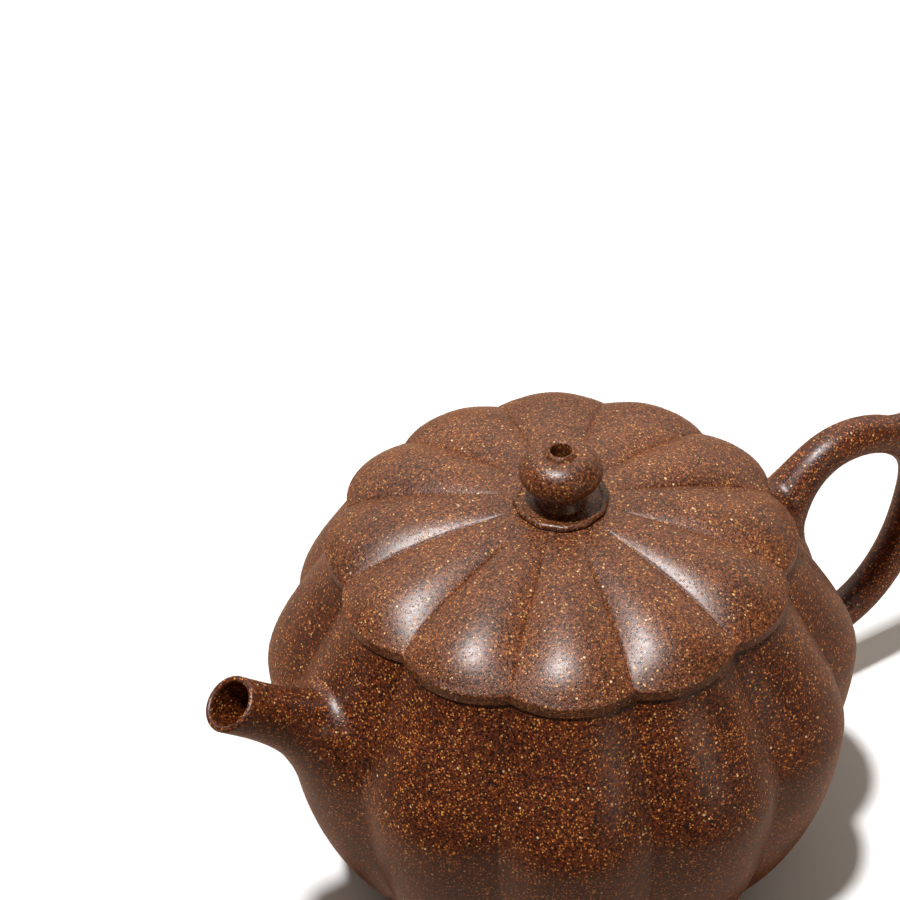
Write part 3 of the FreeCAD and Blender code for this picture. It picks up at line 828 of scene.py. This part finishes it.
def build_knob():
    """A flattened bead on a short neck, with a raised lip round the vent."""
    bead_z = knob_z + BEAD_GAP + BEAD_R
    core = knob_r - BEAD_R
    neck_a = math.degrees(math.acos((NECK_TOP - core) / BEAD_R))
    lip_a = math.degrees(math.acos((LIP_R - core) / BEAD_R))
    neck_top = bead_z - BEAD_R * math.sin(math.radians(neck_a)) * BEAD_UNDER
    s = np.linspace(0, 1, NECK_RINGS)
    neck_mid = 2 * NECK_NARROW - (NECK_WIDE + NECK_TOP) / 2
    neck = NECK_WIDE * (1 - s) ** 2 + 2 * neck_mid * s * (1 - s) + NECK_TOP * s ** 2
    outline = [(NECK_WIDE + NECK_FOOT, knob_z - SEAT_DISH)]
    outline += list(zip(neck, knob_z + (neck_top - knob_z) * s))
    bead = np.array(corner(core, bead_z, BEAD_R, -neck_a, lip_a, BEAD_RINGS)[1:])
    under = bead[:, 1] < bead_z
    bead[under, 1] = bead_z + (bead[under, 1] - bead_z) * BEAD_UNDER
    outline += [tuple(q) for q in bead]
    lip_z = outline[-1][1]
    lip_top = bead_z + BEAD_R + LIP_H
    b = np.linspace(0, 1, LIP_RINGS)[1:]
    outline += list(zip(LIP_R + (LIP_EDGE_R - LIP_R) * b, lip_z + (lip_top - lip_z) * b ** LIP_BOW))
    lip_round = LIP_EDGE_R - VENT_R
    outline += corner(LIP_EDGE_R, lip_top - lip_round, lip_round, 90, 180, 6)[1:]
    outline += [(VENT_R, knob_z - SEAT_DISH)]
    obj = mesh_object("knob_bead", *skin([ring(r, z, turn_angle) for r, z in outline]))
    return finish_piece(obj, "lid", ["knob"], lid_clay)


build_shell()
build_foot()
build_spout()
build_handle()
build_spur()
build_lid()
build_flange()
build_knob_seat()
build_knob()
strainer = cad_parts["spout_strainer"].data
strainer.materials.clear()
strainer.materials.append(pot_clay)


# Studio: a white floor, a high lamp, a small front panel, and a room that the camera sees as white

def build_floor():
    """A white sheet, set square to the camera; its front edge lies below the frame.
    Other rays see a duller, warmer sheet that fades out in front of the pot."""
    verts = []
    for side, back in ((-FLOOR_SIDE, -FLOOR_FRONT), (FLOOR_SIDE, -FLOOR_FRONT),
                       (FLOOR_SIDE, FLOOR_SIDE), (-FLOOR_SIDE, FLOOR_SIDE)):
        verts.append((side * math.cos(AZIMUTH) - back * math.sin(AZIMUTH),
                      side * math.sin(AZIMUTH) + back * math.cos(AZIMUTH), 0))
    floor = mesh_object("studio_floor", verts, [(0, 1, 2, 3)])
    material = bpy.data.materials.new("studio_floor")
    material.use_nodes = True
    tree = material.node_tree
    shader = tree.nodes["Principled BSDF"]
    seen = tree.nodes.new("ShaderNodeLightPath").outputs["Is Camera Ray"]
    place = tree.nodes.new("ShaderNodeTexCoord").outputs["Object"]
    fade = ramp(tree, toward(tree, place, (*BACKWARD, 0)), *FLOOR_FADE)
    bounce = blend_colour(tree, fade, FLOOR_DARK, FLOOR_BOUNCE)
    tree.links.new(blend_colour(tree, seen, bounce, FLOOR_TONE), shader.inputs["Base Color"])
    shader.inputs["Roughness"].default_value = FLOOR_ROUGHNESS
    shader.inputs["Specular IOR Level"].default_value = 0.0
    floor.data.materials.append(material)


def build_lamp(data, way):
    """A lamp that shines from a direction."""
    lamp = bpy.data.objects.new(data.name, data)
    bpy.context.scene.collection.objects.link(lamp)
    lamp.rotation_mode = "QUATERNION"
    lamp.rotation_quaternion = Vector(way).to_track_quat("Z", "Y")
    return lamp


def build_lights():
    """A small high lamp, a weak front panel, and a room that is bright above the horizon behind
    the pot and dim elsewhere."""
    sun = bpy.data.lights.new("high_lamp", "SUN")
    sun.energy = LAMP_STRENGTH
    sun.angle = LAMP_SPREAD
    build_lamp(sun, LAMP_WAY)
    panel = bpy.data.lights.new("front_panel", "AREA")
    panel.energy = FRONT_POWER
    panel.size = FRONT_SIZE
    panel.color = FRONT_TINT
    front = build_lamp(panel, FRONT_WAY)
    front.location = Vector(FRONT_WAY) * FRONT_FAR + Vector((0, 0, seat_z))
    world = bpy.data.worlds.new("studio")
    bpy.context.scene.world = world
    world.use_nodes = True
    tree = world.node_tree
    room = tree.nodes["Background"]
    way = tree.nodes.new("ShaderNodeTexCoord").outputs["Generated"]
    behind = ramp(tree, toward(tree, way, (*BACKWARD, ROOM_TILT)), *ROOM_SIDE_RANGE)
    height = add_node(tree, "ShaderNodeSeparateXYZ", Vector=way).outputs["Z"]
    bright = maths(tree, "MULTIPLY", behind, ramp(tree, height, *ROOM_HEIGHT_RANGE))
    strength = ramp(tree, bright, 0.0, 1.0, ROOM_FRONT, ROOM_BACK)
    seen = tree.nodes.new("ShaderNodeLightPath").outputs["Is Camera Ray"]
    tree.links.new(ramp(tree, seen, 0.0, 1.0, strength, 1.0), room.inputs["Strength"])
    tree.links.new(blend_colour(tree, seen, ROOM_TINT, WHITE), room.inputs["Color"])


def build_camera():
    level = math.cos(ELEVATION)
    back = Vector((math.sin(AZIMUTH) * level, -math.cos(AZIMUTH) * level, math.sin(ELEVATION)))
    data = bpy.data.cameras.new("camera")
    data.sensor_width = SENSOR
    data.lens = FOCAL / IMAGE * SENSOR
    data.clip_start = CLIP_START
    camera = bpy.data.objects.new("camera", data)
    bpy.context.scene.collection.objects.link(camera)
    camera.location = Vector((0, 0, seat_z)) + back * DISTANCE
    camera.rotation_mode = "QUATERNION"
    aim = Vector(((AIM[0] - IMAGE / 2) / FOCAL, (IMAGE / 2 - AIM[1]) / FOCAL, -1)).normalized()
    turn = aim.rotation_difference(Vector((0, 0, -1)))
    camera.rotation_quaternion = (-back).to_track_quat("-Z", "Y") @ turn
    bpy.context.scene.camera = camera


build_floor()
build_lights()
build_camera()
bpy.context.scene.view_settings.view_transform = "Standard"
